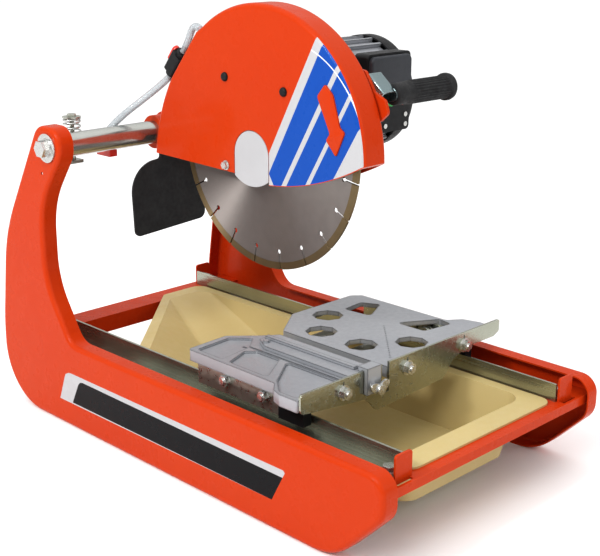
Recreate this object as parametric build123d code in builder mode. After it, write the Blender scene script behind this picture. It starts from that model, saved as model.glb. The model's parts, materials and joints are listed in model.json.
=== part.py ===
from build123d import *
import math
import os

# Masonry bench saw: a rolling cutting table under a blade head that tips on a cross tube.
# Millimetres. +X to the motor side, -Y to the operator, +Z up; Z = 0 is the ground.
# X = 0 is midway between the side frames, Y = 0 is midway along the rails.

# ---------------------------------------------------------------- driving dimensions
FRAME_X = 196.0          # outer face of each side frame
FRAME_DEPTH = 22.0       # depth of the pressed side frames
FRAME_SHEET = 2.0
FRAME_INNER = FRAME_X - FRAME_DEPTH
BASE_TOP = 115.0         # top of the skids

PIVOT_Y = 212.0          # cross tube on which the head tips
PIVOT_Z = 367.0
TUBE_R = 15.0
TUBE_END = 171.0
PIVOT_BOLT_R = 6.0
RUNNING = 0.05           # radial clearance of every turning fit

RAIL_X = 132.6           # inner face of each rail
RAIL_SHEET = 3.0
RAIL_TOP = 116.0
RAIL_SEAT = 94.0         # underside of the rails, top of the cross bars
RAIL_END = 326.0
RAIL_OUT = 158.0
RAIL_BOLT = (148.0, 312.0)

BLADE_X = -30.4          # plane of the blade
ARBOR_Y = -8.0
ARBOR_Z = 377.0
BLADE_R = 150.0
SEGMENTS = 20
BORE_R = 12.7

GUARD_NEAR = -50.0       # outer faces of the blade guard
GUARD_FAR = -12.0
GUARD_R = 169.0
GUARD_Y = -12.0
GUARD_WALL = 2.5

BELT_FAR = 40.0          # belt housing runs from GUARD_FAR to here
COVER_FAR = 44.0
MOTOR_Z = 427.0
MOTOR_R = 70.0
MOTOR_FAR = 136.0
COWL_FAR = 158.0
PULLEY_R = 22.0

TABLE_TOP = 147.0
PLATE = 6.0              # thickness of the table castings
KERF = (-37.0, -24.5)    # gap that the blade runs in
TABLE_FRONT = -200.0
FENCE_TOP = 154.0
ROLLER_Y = (-62.0, -127.0)
ROLLER_R = 9.5           # radius at the bottom of the groove
ROLLER_Z = RAIL_TOP + ROLLER_R + 0.3
ROLLER_X = RAIL_X + RAIL_SHEET / 2
SIDE_X = 145.0           # inner face of each carriage side
SIDE_SHEET = 3.0

GRIP_Y = -165.0
GRIP_Z = 451.0
GRIP_START = 14.0

os.makedirs("parts", exist_ok=True)


# ---------------------------------------------------------------- helpers
def save(node, name):
    """Label a finished piece and write its STEP file."""
    node.part.label = name
    export_step(node.part, f"parts/{name}.step")


def rod_x(x0, x1, y, z, r, mode=Mode.ADD):
    """Round bar or hole along X."""
    with Locations(Location(((x0 + x1) / 2, y, z), (0, 90, 0))):
        Cylinder(r, abs(x1 - x0), mode=mode)


def rod_y(y0, y1, x, z, r, mode=Mode.ADD):
    """Round bar or hole along Y."""
    with Locations(Location((x, (y0 + y1) / 2, z), (90, 0, 0))):
        Cylinder(r, abs(y1 - y0), mode=mode)


def rod_z(z0, z1, x, y, r, mode=Mode.ADD):
    """Round bar or hole along Z."""
    with Locations((x, y, (z0 + z1) / 2)):
        Cylinder(r, abs(z1 - z0), mode=mode)


def block(x, y, z, mode=Mode.ADD):
    """Box between two limits on each axis."""
    with Locations(((x[0] + x[1]) / 2, (y[0] + y[1]) / 2, (z[0] + z[1]) / 2)):
        Box(abs(x[1] - x[0]), abs(y[1] - y[0]), abs(z[1] - z[0]), mode=mode)


def hexagon(along, start, length, u, v, across):
    """Hexagon head or nut along an axis, where three flat slabs cross."""
    centre = start + length / 2
    place = {
        "X": Location((centre, u, v), (0, 90, 0)),
        "Y": Location((u, centre, v), (90, 0, 0)),
        "Z": Location((u, v, centre)),
    }[along]
    slab = Box(across, 2 * across, abs(length), mode=Mode.PRIVATE)
    add(place * (slab & Rot(0, 0, 60) * slab & Rot(0, 0, 120) * slab))


def outline(corners):
    """Closed outline from (point, corner radius) pairs."""
    FilletPolyline([p for p, r in corners], radius=[r for p, r in corners], close=True)


# ---------------------------------------------------------------- side frames
FRAME_OUTLINE = [
    ((-277, 0), 70), ((349, 0), 80), ((347, 112), 250), ((327, 240), 220),
    ((236, 393), 24), ((187, 393), 22), ((187, 358), 30), ((236, 290), 110),
    ((236, 190), 110), ((186, BASE_TOP), 28), ((-346, BASE_TOP), 22), ((-346, 70), 28),
]
FRAME_HOLES = [(278, 323), (227, 333)]

for side, name in ((-1, "left_side_frame"), (1, "right_side_frame")):
    with BuildPart() as side_frame:
        with BuildSketch(Plane.YZ.offset(side * FRAME_INNER)):
            with BuildLine():
                outline(FRAME_OUTLINE)
            make_face()
        extrude(amount=side * FRAME_DEPTH)
        outer = side_frame.faces().sort_by(Axis.X)[-1 if side > 0 else 0]
        fillet(outer.edges(), radius=6)
        inner = side_frame.faces().sort_by(Axis.X)[0 if side > 0 else -1]
        offset(amount=-FRAME_SHEET, openings=inner)
        rod_x(side * (FRAME_X - 4), side * (FRAME_X + 1), PIVOT_Y, PIVOT_Z, PIVOT_BOLT_R + 0.5, Mode.SUBTRACT)
        for hole_y, hole_z in FRAME_HOLES:
            rod_x(side * (FRAME_X - 4), side * (FRAME_X + 1), hole_y, hole_z, 2.2, Mode.SUBTRACT)
    save(side_frame, name)

# ---------------------------------------------------------------- cross bars with end-stop tabs
BAR_BACK = 300.0
BAR_FRONT = 339.0
TAB_X = (134.0, 160.0)
TAB_TOP = 124.0
TAB_Y = 329.0

for end, name in ((-1, "front_crossbar"), (1, "rear_crossbar")):
    with BuildPart() as crossbar:
        bar_x = (-FRAME_X + FRAME_SHEET, FRAME_X - FRAME_SHEET)
        block(bar_x, (end * BAR_BACK, end * BAR_FRONT), (RAIL_SEAT - 2.5, RAIL_SEAT))
        block(bar_x, (end * BAR_FRONT, end * (BAR_FRONT - 2.5)), (83, RAIL_SEAT))
        block(bar_x, (end * BAR_BACK, end * (BAR_BACK + 2.5)), (70, RAIL_SEAT))
        for side in (-1, 1):
            tab_x = (side * TAB_X[0], side * TAB_X[1])
            block(tab_x, (end * (TAB_Y - 1.2), end * (TAB_Y + 1.3)), (RAIL_SEAT - 2.5, TAB_TOP))
            slot_x = (side * (TAB_X[0] + 3), side * (TAB_X[1] + 2))
            block(slot_x, (end * (TAB_Y + 1.3), end * (TAB_Y + 6.5)), (80, 100), Mode.SUBTRACT)
            rod_z(80, 100, side * RAIL_BOLT[0], end * RAIL_BOLT[1], 4.3, Mode.SUBTRACT)
        tab_edges = crossbar.edges().filter_by(Axis.Y).group_by(Axis.Z)[-1]
        fillet(tab_edges, radius=4)
    save(crossbar, name)

# ---------------------------------------------------------------- rails
for side, name in ((-1, "left_rail"), (1, "right_rail")):
    with BuildPart() as rail:
        face_x = (side * RAIL_X, side * (RAIL_X + RAIL_SHEET))
        block(face_x, (-RAIL_END, RAIL_END), (RAIL_SEAT, RAIL_TOP))
        foot_x = (side * RAIL_X, side * RAIL_OUT)
        block(foot_x, (-RAIL_END, RAIL_END), (RAIL_SEAT, RAIL_SEAT + RAIL_SHEET))
        fillet(rail.edges().filter_by(Axis.X).filter_by_position(Axis.Z, RAIL_TOP - 1, RAIL_TOP + 1), radius=2)
        for end in (-1, 1):
            rod_z(90, 100, side * RAIL_BOLT[0], end * RAIL_BOLT[1], 4.3, Mode.SUBTRACT)
    save(rail, name)

with BuildPart() as frame_bolts:
    for side in (-1, 1):
        for end in (-1, 1):
            bolt_x, bolt_y = side * RAIL_BOLT[0], end * RAIL_BOLT[1]
            top = RAIL_SEAT + RAIL_SHEET
            rod_z(top, top + 1.6, bolt_x, bolt_y, 8)
            hexagon("Z", top + 1.6, 5.5, bolt_x, bolt_y, 13)
            rod_z(84, top + 1.6, bolt_x, bolt_y, 4)
            hexagon("Z", RAIL_SEAT - 9, 6.5, bolt_x, bolt_y, 13)
save(frame_bolts, "frame_bolts")

# ---------------------------------------------------------------- water tray
TRAY_RIM = RAIL_SEAT + 2.5
TRAY_WALL = 2.5
TRAY_X = 129.5



def tray_outline(half, front, rear, cut_x, cut_y, r):
    """Plan of the tray at one level: a rectangle whose rear left corner is cut off from cut_x to cut_y."""
    outline([
        ((-half, front), r), ((half, front), r), ((half, rear), r),
        ((cut_x, rear), r * 0.7), ((-half, cut_y), r),
    ])


with BuildPart() as water_tray:
    with BuildSketch(Plane.XY.offset(RAIL_SEAT)):
        with BuildLine():
            tray_outline(TRAY_X, -325, 315, 58, 139, 16)
        make_face()
    extrude(amount=TRAY_RIM - RAIL_SEAT)
    with BuildSketch(Plane.XY.offset(RAIL_SEAT)):
        with BuildLine():
            tray_outline(117, -297, 296, 54, 134, 26)
        make_face()
    with BuildSketch(Plane.XY.offset(30)):
        with BuildLine():
            tray_outline(94, -290, 80, -20, 20, 22)
        make_face()
    loft()
    with BuildSketch(Plane.XY.offset(TRAY_RIM)):
        with BuildLine():
            tray_outline(114.5, -294.5, 293.5, 53, 132, 24)
        make_face()
    with BuildSketch(Plane.XY.offset(32.5)):
        with BuildLine():
            tray_outline(91.5, -287.5, 77.5, -19, 19, 20)
        make_face()
    loft(mode=Mode.SUBTRACT)
save(water_tray, "water_tray")

# ---------------------------------------------------------------- pivot: bolts, bushes and the cross tube
with BuildPart() as pivot_bolts:
    for side in (-1, 1):
        rod_x(side * FRAME_X, side * (FRAME_X + 2.5), PIVOT_Y, PIVOT_Z, 18)
        rod_x(side * (FRAME_X + 2.5), side * (FRAME_X + 4.5), PIVOT_Y, PIVOT_Z, 12)
        hexagon("X", side * (FRAME_X + 4.5), side * 7.5, PIVOT_Y, PIVOT_Z, 19)
        rod_x(side * (TUBE_END - 16), side * (FRAME_X + 4.5), PIVOT_Y, PIVOT_Z, PIVOT_BOLT_R)
save(pivot_bolts, "pivot_bolts")

with BuildPart() as pivot_bushes:
    for side in (-1, 1):
        rod_x(side * (TUBE_END + 1.5), side * (FRAME_X - FRAME_SHEET), PIVOT_Y, PIVOT_Z, 19)
        rod_x(side * TUBE_END, side * FRAME_X, PIVOT_Y, PIVOT_Z, PIVOT_BOLT_R, Mode.SUBTRACT)
save(pivot_bushes, "pivot_bushes")

LUG_X = -135.0
STUD_Y = PIVOT_Y + 34
LUG_Z = PIVOT_Z - 7

with BuildPart() as pivot_tube:
    rod_x(-TUBE_END, TUBE_END, PIVOT_Y, PIVOT_Z, TUBE_R)
    rod_x(-TUBE_END + 20, TUBE_END - 20, PIVOT_Y, PIVOT_Z, TUBE_R - 2.5, Mode.SUBTRACT)
    block((LUG_X - 13, LUG_X + 13), (PIVOT_Y + 5, STUD_Y + 13), (LUG_Z - 4, LUG_Z))
    rod_x(-TUBE_END + 20, TUBE_END - 20, PIVOT_Y, PIVOT_Z, TUBE_R - 2.5, Mode.SUBTRACT)
    with Locations((LUG_X, STUD_Y - 2, LUG_Z)):
        Box(9, 16, 10, mode=Mode.SUBTRACT)
    for side in (-1, 1):
        hole = PIVOT_BOLT_R + RUNNING
        rod_x(side * (TUBE_END - 21), side * (TUBE_END + 1), PIVOT_Y, PIVOT_Z, hole, Mode.SUBTRACT)
save(pivot_tube, "pivot_tube")

# ---------------------------------------------------------------- head return spring on its stud
SPRING_TOP = PIVOT_Z + 27
SPRING_FOOT = LUG_Z + 0.3
SPRING_R = 10.5
SPRING_TURNS = 6

with BuildPart() as spring_stud:
    bracket_z = LUG_Z - 20
    block((-FRAME_INNER, LUG_X + 9), (STUD_Y - 9, STUD_Y + 9), (bracket_z - 4, bracket_z))
    block((-FRAME_X + FRAME_SHEET, -FRAME_INNER), (STUD_Y - 9, STUD_Y + 4), (bracket_z - 4, bracket_z))
    rod_z(bracket_z, SPRING_TOP + 5, LUG_X, STUD_Y, 3)
    rod_z(SPRING_TOP, SPRING_TOP + 1.6, LUG_X, STUD_Y, 12)
    hexagon("Z", SPRING_TOP + 1.6, 3.4, LUG_X, STUD_Y, 10)
save(spring_stud, "spring_stud")

with BuildPart() as return_spring:
    wire = 1.3
    rise = SPRING_TOP - SPRING_FOOT - 2 * wire - 0.4
    with BuildLine():
        Helix(pitch=rise / SPRING_TURNS, height=rise, radius=SPRING_R)
    with BuildSketch(Plane(origin=(SPRING_R, 0, 0), z_dir=(0, 1, 0))):
        Circle(wire)
    sweep()
return_spring.part = Pos(LUG_X, STUD_Y, SPRING_FOOT + wire + 0.2) * return_spring.part
save(return_spring, "return_spring")

# ---------------------------------------------------------------- belt housing, which is also the head's arm
HOUSING_OUTLINE = [
    ((-84, 503), 66), ((-84, 331), 46), ((62, 331), 40), ((150, 345), 60),
    ((234, 345), 21), ((234, 389), 21), ((150, 402), 60), ((70, 503), 66),
]
CAVITY = (-78, 62, 337, 497)     # Y and Z limits of the belt space
HOUSING_WALL = 4.0

with BuildPart() as belt_housing:
    with BuildSketch(Plane.YZ.offset(GUARD_FAR)):
        with BuildLine():
            outline(HOUSING_OUTLINE)
        make_face()
    extrude(amount=BELT_FAR - GUARD_FAR)
    with BuildSketch(Plane.YZ.offset(GUARD_FAR + HOUSING_WALL)):
        with Locations(((CAVITY[0] + CAVITY[1]) / 2, (CAVITY[2] + CAVITY[3]) / 2)):
            RectangleRounded(CAVITY[1] - CAVITY[0], CAVITY[3] - CAVITY[2], 38)
    extrude(amount=BELT_FAR - GUARD_FAR - HOUSING_WALL, mode=Mode.SUBTRACT)
    rod_x(GUARD_FAR, GUARD_FAR + 16, ARBOR_Y, ARBOR_Z, 24)
    rod_x(GUARD_FAR - 1, GUARD_FAR + 17, ARBOR_Y, ARBOR_Z, 21, Mode.SUBTRACT)
    rod_x(-31, BELT_FAR, PIVOT_Y, PIVOT_Z, 22)
    rod_x(-32, BELT_FAR + 1, PIVOT_Y, PIVOT_Z, TUBE_R, Mode.SUBTRACT)
save(belt_housing, "belt_housing")

with BuildPart() as housing_cover:
    with BuildSketch(Plane.YZ.offset(BELT_FAR)):
        with BuildLine():
            outline(HOUSING_OUTLINE[:3] + [((120, 340), 30), ((120, 430), 30)] + HOUSING_OUTLINE[-1:])
        make_face()
    extrude(amount=COVER_FAR - BELT_FAR)
    rod_x(BELT_FAR - 12, BELT_FAR, ARBOR_Y, ARBOR_Z, 24)
    rod_x(BELT_FAR - 13, BELT_FAR + 1, ARBOR_Y, ARBOR_Z, 21, Mode.SUBTRACT)
    rod_x(BELT_FAR - 1, COVER_FAR + 1, ARBOR_Y, MOTOR_Z, 14, Mode.SUBTRACT)
save(housing_cover, "housing_cover")

# ---------------------------------------------------------------- blade guard
GUARD_CORNER = 6.0
NOTCH = (-31.0, 30.0)            # Y limits of the opening for the arbor cover
NOTCH_ARCH = 367.5
GUARD_LOW = 342.0
GUARD_SCREWS = [(45, 457), (-56, 449)]
FLAP_Y = (180.0, 183.0)          # splash flap, held in a notch of the guard's back wall
FLAP_NECK = (BLADE_X - 15, BLADE_X + 15, 364.0)


def guard_face():
    """Side outline of the guard: round over the blade, flat across the back and open below."""
    front = (GUARD_Y - GUARD_R, ARBOR_Z + 3)
    crown = (GUARD_Y, ARBOR_Z + GUARD_R)
    shoulder_angle = math.radians(54)
    shoulder = (GUARD_Y + GUARD_R * math.cos(shoulder_angle), ARBOR_Z + GUARD_R * math.sin(shoulder_angle))
    front_angle = math.radians(135)
    front_mid = (GUARD_Y + GUARD_R * math.cos(front_angle), ARBOR_Z + GUARD_R * math.sin(front_angle))
    crown_angle = math.radians(72)
    crown_mid = (GUARD_Y + GUARD_R * math.cos(crown_angle), ARBOR_Z + GUARD_R * math.sin(crown_angle))
    ThreePointArc(front, front_mid, crown)
    ThreePointArc(crown, crown_mid, shoulder)
    Line(shoulder, (100, 506))
    Line((100, 506), (150, 446))
    ThreePointArc((150, 446), (174, 398), (186, 346))
    Line((186, 346), (30, GUARD_LOW))
    Line((30, GUARD_LOW), (-33, 336))
    ThreePointArc((-33, 336), (-112, 351), front)


with BuildPart() as guard_shell:
    with BuildSketch(Plane.YZ.offset(GUARD_NEAR)):
        with BuildLine():
            guard_face()
        make_face()
    extrude(amount=GUARD_FAR - GUARD_NEAR)
    rims = guard_shell.edges().filter_by_position(Axis.X, GUARD_NEAR - 0.1, GUARD_NEAR + 0.1)
    rims += guard_shell.edges().filter_by_position(Axis.X, GUARD_FAR - 0.1, GUARD_FAR + 0.1)
    upper = [e for e in rims if e.center().Z > 358]
    fillet(upper, radius=GUARD_CORNER)
    with BuildSketch(Plane.YZ.offset(GUARD_NEAR + GUARD_WALL)):
        with BuildLine():
            guard_face()
        make_face()
        offset(amount=-GUARD_WALL)
    extrude(amount=GUARD_FAR - GUARD_NEAR - 2 * GUARD_WALL, mode=Mode.SUBTRACT)
    # the underside is open from the back rim to the front rim
    open_x = (GUARD_NEAR + GUARD_WALL, GUARD_FAR - GUARD_WALL)
    block(open_x, (-34, 182), (325, 348), Mode.SUBTRACT)
    block(open_x, (-120, -33), (325, 356), Mode.SUBTRACT)
    block(open_x, (-174.5, -100), (340, 384), Mode.SUBTRACT)
    # opening for the arbor cover, and for the arbor in the far wall
    block((GUARD_NEAR - 1, GUARD_NEAR + 3), NOTCH, (325, NOTCH_ARCH), Mode.SUBTRACT)
    arch_y = (NOTCH[0] + NOTCH[1]) / 2
    rod_x(GUARD_NEAR - 1, GUARD_NEAR + 3, arch_y, NOTCH_ARCH, (NOTCH[1] - NOTCH[0]) / 2, Mode.SUBTRACT)
    rod_x(GUARD_FAR - 4, GUARD_FAR + 1, ARBOR_Y, ARBOR_Z, 22, Mode.SUBTRACT)
    for screw_y, screw_z in GUARD_SCREWS:
        rod_x(GUARD_NEAR - 1, GUARD_NEAR + 3, screw_y, screw_z, 2.5, Mode.SUBTRACT)
    block(FLAP_NECK[:2], (174, 190), (330, FLAP_NECK[2]), Mode.SUBTRACT)
save(guard_shell, "guard_shell")

with BuildPart() as arbor_cover:
    arch_r = (NOTCH[1] - NOTCH[0]) / 2
    with BuildSketch(Plane.YZ.offset(GUARD_NEAR)):
        with BuildLine():
            Line((NOTCH[0] + 1, NOTCH_ARCH), (NOTCH[0] + 1, 340))
            ThreePointArc((NOTCH[0] + 1, 340), (arch_y, 330), (NOTCH[1] - 1, 340))
            Line((NOTCH[1] - 1, 340), (NOTCH[1] - 1, NOTCH_ARCH))
            ThreePointArc((NOTCH[1] - 1, NOTCH_ARCH), (arch_y, NOTCH_ARCH + arch_r - 1), (NOTCH[0] + 1, NOTCH_ARCH))
        make_face()
    extrude(amount=GUARD_WALL)
    rod_x(GUARD_NEAR + GUARD_WALL, GUARD_NEAR + GUARD_WALL + 1.5, arch_y, NOTCH_ARCH, arch_r + 6)
    block((GUARD_NEAR + GUARD_WALL, GUARD_NEAR + GUARD_WALL + 1.5), (NOTCH[0] - 6, NOTCH[1] + 6), (350, NOTCH_ARCH))
save(arbor_cover, "arbor_cover")

with BuildPart() as guard_screws:
    for screw_y, screw_z in GUARD_SCREWS:
        rod_x(GUARD_NEAR - 3.4, GUARD_NEAR, screw_y, screw_z, 5.5)
    fillet(guard_screws.edges().group_by(Axis.X)[0], radius=3)
    for screw_y, screw_z in GUARD_SCREWS:
        rod_x(GUARD_NEAR, GUARD_NEAR + 8, screw_y, screw_z, 2.5)
save(guard_screws, "guard_screws")

# ---------------------------------------------------------------- splash flap behind the blade
FLAP_LOW = 239.0
FLAP_HALF = 59.0

with BuildPart() as splash_flap:
    with BuildSketch(Plane.XZ.offset(-FLAP_Y[0])):
        with BuildLine():
            outline([
                ((BLADE_X - FLAP_HALF, FLAP_LOW), 8), ((BLADE_X + FLAP_HALF, FLAP_LOW + 8), 10),
                ((BLADE_X + FLAP_HALF, 333), 40), ((FLAP_NECK[1], 338), 4), ((FLAP_NECK[1], FLAP_NECK[2]), 3),
                ((FLAP_NECK[0], FLAP_NECK[2]), 3), ((FLAP_NECK[0], 338), 4), ((BLADE_X - FLAP_HALF - 4, 333), 40),
            ])
        make_face()
    extrude(amount=FLAP_Y[0] - FLAP_Y[1])
save(splash_flap, "splash_flap")

# ---------------------------------------------------------------- blade, flanges and arbor
with BuildPart() as saw_blade:
    rim = BLADE_R - 9.0
    rod_x(BLADE_X - 1.1, BLADE_X + 1.1, ARBOR_Y, ARBOR_Z, rim + 0.5)
    rod_x(BLADE_X - 1.5, BLADE_X + 1.5, ARBOR_Y, ARBOR_Z, BLADE_R)
    for side in (-1, 1):
        rod_x(BLADE_X + side * 1.1, BLADE_X + side * 2, ARBOR_Y, ARBOR_Z, rim, Mode.SUBTRACT)
    rod_x(BLADE_X - 2, BLADE_X + 2, ARBOR_Y, ARBOR_Z, BORE_R, Mode.SUBTRACT)
    with BuildSketch(Plane.YZ.offset(BLADE_X - 2)):
        with Locations((ARBOR_Y, ARBOR_Z)):
            with PolarLocations(BLADE_R - 9, SEGMENTS, start_angle=9):
                Rectangle(22, 2.2)
            with PolarLocations(BLADE_R - 22, SEGMENTS, start_angle=9):
                Circle(3)
    extrude(amount=4, mode=Mode.SUBTRACT)
save(saw_blade, "saw_blade")

INNER_FLANGE = (BLADE_X + 1.1, -20.0)
OUTER_FLANGE = (-37.0, BLADE_X - 1.1)

with BuildPart() as blade_flanges:
    for x0, x1 in (INNER_FLANGE, OUTER_FLANGE):
        rod_x(x0, x1, ARBOR_Y, ARBOR_Z, 38)
        rod_x(x0, x1, ARBOR_Y, ARBOR_Z, BORE_R, Mode.SUBTRACT)
save(blade_flanges, "blade_flanges")

with BuildPart() as arbor_shaft:
    rod_x(OUTER_FLANGE[0] - 1, -18, ARBOR_Y, ARBOR_Z, BORE_R)
    rod_x(-20, -11, ARBOR_Y, ARBOR_Z, 15)
    rod_x(-11, BELT_FAR - 2, ARBOR_Y, ARBOR_Z, 10)
save(arbor_shaft, "arbor_shaft")

with BuildPart() as arbor_bolt:
    rod_x(OUTER_FLANGE[0] - 2, OUTER_FLANGE[0], ARBOR_Y, ARBOR_Z, 16)
    hexagon("X", OUTER_FLANGE[0] - 7, 5, ARBOR_Y, ARBOR_Z, 22)
    rod_x(OUTER_FLANGE[0] - 2, OUTER_FLANGE[0], ARBOR_Y, ARBOR_Z, BORE_R, Mode.SUBTRACT)
save(arbor_bolt, "arbor_bolt")

# ---------------------------------------------------------------- belt drive
BELT_X = (10.0, 26.0)

with BuildPart() as driven_pulley:
    rod_x(BELT_X[0] - 2, BELT_X[1] + 2, ARBOR_Y, ARBOR_Z, PULLEY_R)
    for flange_x in (BELT_X[0] - 2, BELT_X[1] + 0.5):
        rod_x(flange_x, flange_x + 1.5, ARBOR_Y, ARBOR_Z, PULLEY_R + 2)
    rod_x(BELT_X[0] - 3, BELT_X[1] + 3, ARBOR_Y, ARBOR_Z, 10, Mode.SUBTRACT)
save(driven_pulley, "driven_pulley")

with BuildPart() as drive_pulley:
    rod_x(BELT_X[0] - 2, BELT_X[1] + 2, ARBOR_Y, MOTOR_Z, PULLEY_R)
    for flange_x in (BELT_X[0] - 2, BELT_X[1] + 0.5):
        rod_x(flange_x, flange_x + 1.5, ARBOR_Y, MOTOR_Z, PULLEY_R + 2)
    rod_x(BELT_X[0] - 3, BELT_X[1] + 3, ARBOR_Y, MOTOR_Z, 9, Mode.SUBTRACT)
save(drive_pulley, "drive_pulley")

with BuildPart() as drive_belt:
    with BuildSketch(Plane.YZ.offset(BELT_X[0] + 0.3)):
        with Locations((ARBOR_Y, (ARBOR_Z + MOTOR_Z) / 2)):
            SlotCenterToCenter(MOTOR_Z - ARBOR_Z, 2 * (PULLEY_R + 3.5), rotation=90)
            SlotCenterToCenter(MOTOR_Z - ARBOR_Z, 2 * (PULLEY_R + 0.4), rotation=90, mode=Mode.SUBTRACT)
    extrude(amount=BELT_X[1] - BELT_X[0] - 0.3)
save(drive_belt, "drive_belt")

with BuildPart() as ball_bearings:
    seats = [
        (GUARD_FAR + 2, GUARD_FAR + 16, ARBOR_Z, 10, 21), (BELT_FAR - 12, BELT_FAR, ARBOR_Z, 10, 21),
        (COVER_FAR + 1, COVER_FAR + 11, MOTOR_Z, 9, 19), (MOTOR_FAR - 11, MOTOR_FAR - 1, MOTOR_Z, 9, 19),
    ]
    for x0, x1, seat_z, bore, outer_r in seats:
        rod_x(x0, x1, ARBOR_Y, seat_z, outer_r)
        rod_x(x0 - 0.5, x1 + 0.5, ARBOR_Y, seat_z, bore + RUNNING, Mode.SUBTRACT)
save(ball_bearings, "ball_bearings")

# ---------------------------------------------------------------- motor
with BuildPart() as motor_end_shield:
    rod_x(COVER_FAR, COVER_FAR + 12, ARBOR_Y, MOTOR_Z, MOTOR_R + 1)
    rod_x(COVER_FAR + 3, COVER_FAR + 13, ARBOR_Y, MOTOR_Z, MOTOR_R - 4, Mode.SUBTRACT)
    rod_x(COVER_FAR, COVER_FAR + 11, ARBOR_Y, MOTOR_Z, 23)
    rod_x(COVER_FAR + 1, COVER_FAR + 12, ARBOR_Y, MOTOR_Z, 19, Mode.SUBTRACT)
    rod_x(COVER_FAR - 1, COVER_FAR + 2, ARBOR_Y, MOTOR_Z, 13, Mode.SUBTRACT)
save(motor_end_shield, "motor_end_shield")

FINS = 28
with BuildPart() as motor_body:
    rod_x(COVER_FAR + 12, MOTOR_FAR, ARBOR_Y, MOTOR_Z, MOTOR_R - 5)
    with BuildSketch(Plane.YZ.offset(COVER_FAR + 12)):
        with Locations((ARBOR_Y, MOTOR_Z)):
            with PolarLocations(MOTOR_R - 4.5, FINS):
                Rectangle(9, 3.2)
    extrude(amount=MOTOR_FAR - COVER_FAR - 12)
    rod_x(COVER_FAR + 11, MOTOR_FAR - 12, ARBOR_Y, MOTOR_Z, MOTOR_R - 9, Mode.SUBTRACT)
    rod_x(MOTOR_FAR - 13, MOTOR_FAR - 1, ARBOR_Y, MOTOR_Z, 19, Mode.SUBTRACT)
    rod_x(MOTOR_FAR - 2, MOTOR_FAR + 1, ARBOR_Y, MOTOR_Z, 12, Mode.SUBTRACT)
    for flat in ((-120, ARBOR_Y - 58.6),):
        block((COVER_FAR + 11, MOTOR_FAR + 1), flat, (384, 490), Mode.SUBTRACT)
save(motor_body, "motor_body")

with BuildPart() as motor_stator:
    rod_x(COVER_FAR + 24, MOTOR_FAR - 24, ARBOR_Y, MOTOR_Z, MOTOR_R - 9.2)
    rod_x(COVER_FAR + 16, MOTOR_FAR - 16, ARBOR_Y, MOTOR_Z, 52)
    rod_x(COVER_FAR + 15, MOTOR_FAR - 15, ARBOR_Y, MOTOR_Z, 37, Mode.SUBTRACT)
    block((COVER_FAR + 15, MOTOR_FAR - 15), (-120, ARBOR_Y - 58.4), (380, 490), Mode.SUBTRACT)
save(motor_stator, "motor_stator")

with BuildPart() as motor_rotor:
    rod_x(BELT_X[0] - 2, COWL_FAR - 8, ARBOR_Y, MOTOR_Z, 9)
    rod_x(COVER_FAR + 24, MOTOR_FAR - 24, ARBOR_Y, MOTOR_Z, 36)
save(motor_rotor, "motor_rotor")

with BuildPart() as motor_fan:
    rod_x(MOTOR_FAR + 2, COWL_FAR - 6, ARBOR_Y, MOTOR_Z, 16)
    rod_x(MOTOR_FAR + 2, MOTOR_FAR + 4, ARBOR_Y, MOTOR_Z, 56)
    with BuildSketch(Plane.YZ.offset(MOTOR_FAR + 2)):
        with Locations((ARBOR_Y, MOTOR_Z)):
            with PolarLocations(35, 8):
                Rectangle(42, 2.4)
    extrude(amount=13)
    rod_x(MOTOR_FAR + 1, COWL_FAR, ARBOR_Y, MOTOR_Z, 9, Mode.SUBTRACT)
save(motor_fan, "motor_fan")

with BuildPart() as fan_cowl:
    rod_x(MOTOR_FAR, COWL_FAR, ARBOR_Y, MOTOR_Z, MOTOR_R + 1)
    far_rim = fan_cowl.edges().filter_by(GeomType.CIRCLE).sort_by(Axis.X)[-1]
    fillet(far_rim, radius=7)
    rod_x(MOTOR_FAR - 1, COWL_FAR - 2.5, ARBOR_Y, MOTOR_Z, MOTOR_R - 1.5, Mode.SUBTRACT)
    with BuildSketch(Plane.YZ.offset(COWL_FAR - 4)):
        with Locations((ARBOR_Y, MOTOR_Z)):
            for ring_r, slots in ((24, 10), (38, 16), (52, 22)):
                with PolarLocations(ring_r, slots):
                    SlotOverall(10, 4)
    extrude(amount=6, mode=Mode.SUBTRACT)
save(fan_cowl, "fan_cowl")

# ---------------------------------------------------------------- switch housing on the front of the motor
BOX_X = (COVER_FAR + 13, MOTOR_FAR - 1)
BOX_Y = (-88.0, ARBOR_Y - 58.6)
BOX_Z = (389.0, 485.0)
BUTTON_Z = 428.0
BUTTON_X = {"start_button": 98.0, "stop_button": 119.0}
PANEL_SCREWS = [(127, 408), (127, 396), (90, 397)]

with BuildPart() as switch_housing:
    block(BOX_X, BOX_Y, BOX_Z)
    fillet(switch_housing.edges().filter_by(Axis.Y), radius=6)
    block((BOX_X[0] + 3, BOX_X[1] - 3), (BOX_Y[0] + 3, BOX_Y[1] + 1), (BOX_Z[0] + 3, BOX_Z[1] - 3), Mode.SUBTRACT)
    for button_x in BUTTON_X.values():
        rod_y(BOX_Y[0] - 1, BOX_Y[0] + 4, button_x, BUTTON_Z, 8, Mode.SUBTRACT)
    for screw_x, screw_z in PANEL_SCREWS:
        rod_y(BOX_Y[0] - 1, BOX_Y[0] + 4, screw_x, screw_z, 1.6, Mode.SUBTRACT)
save(switch_housing, "switch_housing")

with BuildPart() as switch_cover:
    block((BOX_X[0] + 2, BOX_X[1] - 3), (BOX_Y[0] - 6, BOX_Y[0]), (445, 482))
    fillet(switch_cover.edges().filter_by(Axis.Y), radius=8)
    fillet(switch_cover.faces().sort_by(Axis.Y)[0].edges(), radius=3)
save(switch_cover, "switch_cover")

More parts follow.
